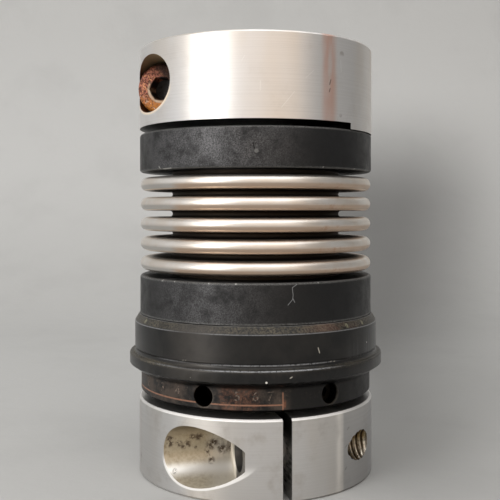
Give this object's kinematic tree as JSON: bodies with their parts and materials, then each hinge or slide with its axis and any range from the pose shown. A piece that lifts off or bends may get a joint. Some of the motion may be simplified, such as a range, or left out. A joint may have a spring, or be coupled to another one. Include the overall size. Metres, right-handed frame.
{
  "type": "bellows coupling",
  "caption": "Torque-limiting bellows coupling: two clamping hubs joined by a metal bellows, with a ball-detent overload clutch set by an adjusting nut.",
  "frame": {"origin": "centre of the input hub's end face, on which the part stands", "axes": "+Z along the shaft axis towards the output hub; -Y towards the side with the input hub's clamping slit; the input screw's tapped hole comes out towards +X"},
  "size_m": [0.0346, 0.0346, 0.057],
  "materials": {
    "hub_aluminium": "turned",
    "sleeve_steel": "ground",
    "nut_steel": "blackened, worn to brown",
    "ring_steel": "satin black",
    "collar_black": "rough black",
    "bellows_steel": "polished stainless",
    "bearing_steel": "ground",
    "spring_steel": "oiled",
    "screw_steel": "rusted"
  },
  "bodies": {
    "input_hub": {"lower_clamp_hub": "hub_aluminium", "limiter_sleeve": "sleeve_steel", "bearing_inner_ring": "bearing_steel", "retaining_ring": "spring_steel"},
    "spring_seat": {"thrust_washer": "sleeve_steel", "disc_spring_1": "spring_steel", "disc_spring_2": "spring_steel", "disc_spring_3": "spring_steel"},
    "nut": {"adjusting_nut": "nut_steel", "nut_lock_screw": "sleeve_steel"},
    "switching_ring": {"switch_ring": "ring_steel", "detent_ball_1": "bearing_steel", "detent_ball_2": "bearing_steel", "detent_ball_3": "bearing_steel", "detent_ball_4": "bearing_steel", "detent_ball_5": "bearing_steel", "detent_ball_6": "bearing_steel"},
    "cage": {"bearing_cage": "spring_steel", "bearing_balls": "bearing_steel"},
    "drive_side": {"drive_flange": "sleeve_steel", "bearing_outer_ring": "bearing_steel", "lower_bellows_collar": "collar_black", "bellows": "bellows_steel"},
    "output_hub": {"upper_clamp_hub": "hub_aluminium", "upper_clamp_screw": "screw_steel", "upper_bellows_collar": "collar_black"}
  },
  "joints": [
    {"name": "nut_advance", "type": "slide", "parent": "input_hub", "child": "spring_seat", "axis": [0, 0, 1], "range_m": [-0.000166, 0.000166]},
    {"name": "nut_turn", "type": "hinge", "parent": "spring_seat", "child": "nut", "pos_m": [0, 0, 0.0129], "axis": [0, 0, 1], "range_deg": [-60, 60]},
    {"name": "ring_travel", "type": "slide", "parent": "input_hub", "child": "switching_ring", "axis": [0, 0, 1], "range_m": [-0.0007, 0], "stiffness_N_per_m": 50000, "deforming": ["disc_spring_1", "disc_spring_2", "disc_spring_3"]},
    {"name": "overload_turn", "type": "hinge", "parent": "input_hub", "child": "drive_side", "pos_m": [0, 0, 0.0242], "axis": [0, 0, 1], "continuous": true},
    {"name": "cage_orbit", "type": "hinge", "parent": "input_hub", "child": "cage", "pos_m": [0, 0, 0.0242], "axis": [0, 0, 1], "continuous": true},
    {"name": "bellows_stretch", "type": "slide", "parent": "drive_side", "child": "output_hub", "axis": [0, 0, 1], "range_m": [-0.001, 0.001], "stiffness_N_per_m": 10000, "deforming": ["bellows"]}
  ],
  "couplings": [
    {"joint": "nut_turn", "follows": "nut_advance", "rad_per_m": 6283.2}
  ]
}
